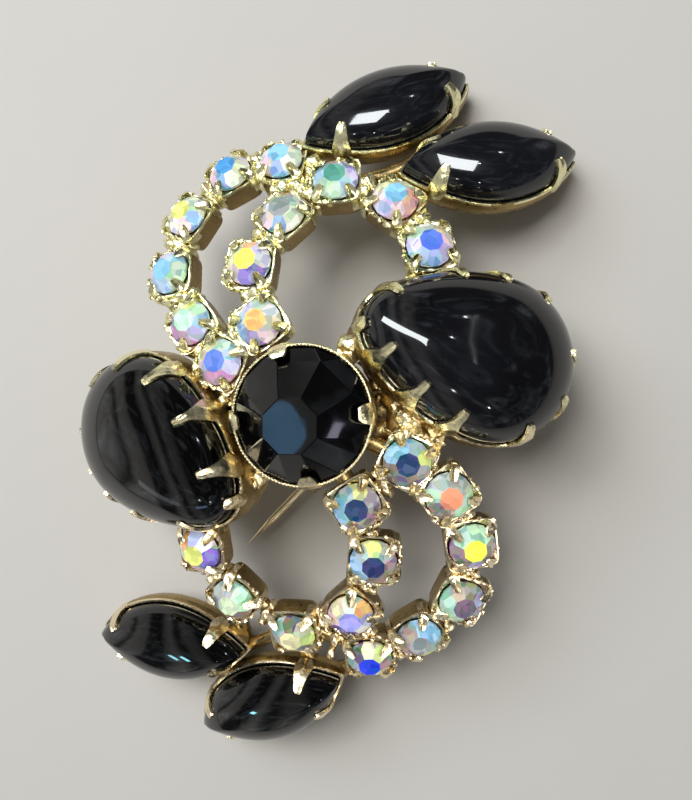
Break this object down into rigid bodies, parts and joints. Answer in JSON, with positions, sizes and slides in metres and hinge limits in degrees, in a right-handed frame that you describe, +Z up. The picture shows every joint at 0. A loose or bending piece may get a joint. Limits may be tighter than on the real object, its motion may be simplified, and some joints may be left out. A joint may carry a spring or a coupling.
{
  "type": "rhinestone brooch",
  "caption": "Domed brooch of black glass cabochons, a faceted black centre stone and clear coated rhinestones in soldered claw settings, with a hinged pin stem at the back.",
  "frame": {"origin": "on the surface that the brooch rests on, under the middle of its outline", "axes": "+Z is up, out of the brooch's front; +Y is along its length and +X is across it, with the pin's point towards -X and -Y"},
  "size_m": [0.0463, 0.0635, 0.0158],
  "materials": {
    "gold_plate": "polished pale gold plate",
    "pin_wire": "polished pale gold plate",
    "black_glass": "polished opaque black",
    "clear_glass": "clear with a rainbow coating and a foiled back"
  },
  "bodies": {
    "brooch": {"frame": "gold_plate", "centre_stone": "black_glass", "pear_stone_right": "black_glass", "pear_stone_left": "black_glass", "pointed_stone_1": "black_glass", "pointed_stone_2": "black_glass", "pointed_stone_3": "black_glass", "pointed_stone_4": "black_glass", "clear_stone_1": "clear_glass", "clear_stone_2": "clear_glass", "clear_stone_3": "clear_glass", "clear_stone_4": "clear_glass", "clear_stone_5": "clear_glass", "clear_stone_6": "clear_glass", "clear_stone_7": "clear_glass", "clear_stone_8": "clear_glass", "clear_stone_9": "clear_glass", "clear_stone_10": "clear_glass", "clear_stone_11": "clear_glass", "clear_stone_12": "clear_glass", "clear_stone_13": "clear_glass", "clear_stone_14": "clear_glass", "clear_stone_15": "clear_glass", "clear_stone_16": "clear_glass", "clear_stone_17": "clear_glass", "clear_stone_18": "clear_glass", "clear_stone_19": "clear_glass", "clear_stone_20": "clear_glass", "clear_stone_21": "clear_glass", "clear_stone_22": "clear_glass", "clear_stone_23": "clear_glass", "clear_stone_24": "clear_glass"},
    "pin": {"pin_stem": "pin_wire"}
  },
  "joints": [
    {"name": "pin_hinge", "type": "hinge", "parent": "brooch", "child": "pin", "pos_m": [0.01403, 0.00923, 0.0028], "axis": [0.5892, -0.569, 0.5736], "range_deg": [0, 75]}
  ]
}
